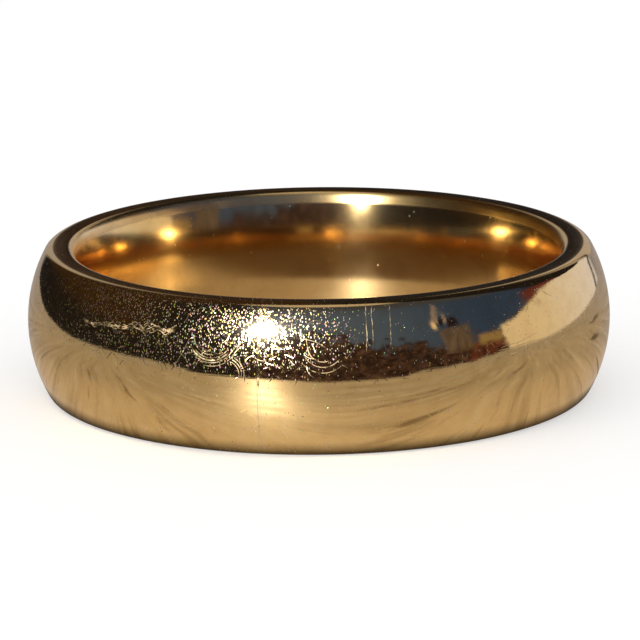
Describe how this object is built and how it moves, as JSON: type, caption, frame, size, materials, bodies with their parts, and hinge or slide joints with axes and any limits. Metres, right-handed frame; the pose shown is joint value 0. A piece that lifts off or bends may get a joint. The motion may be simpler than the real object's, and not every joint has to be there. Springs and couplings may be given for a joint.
{
  "type": "wedding band",
  "caption": "Plain domed wedding band with a comfort-fit bore, bent from D-section gold stock and closed with a soldered joint.",
  "frame": {"origin": "centre of the bore at mid-width", "axes": "+Z along the bore's axis, and the band lies on its -Z rim; -Y is the side the picture shows in front, with +X to its right"},
  "size_m": [0.0234, 0.0234, 0.006],
  "materials": {
    "gold": "polished, with fine wear scratches",
    "solder": "polished, slightly paler than the gold"
  },
  "bodies": {
    "root": {"shank": "gold", "solder_seam": "solder"}
  },
  "joints": []
}
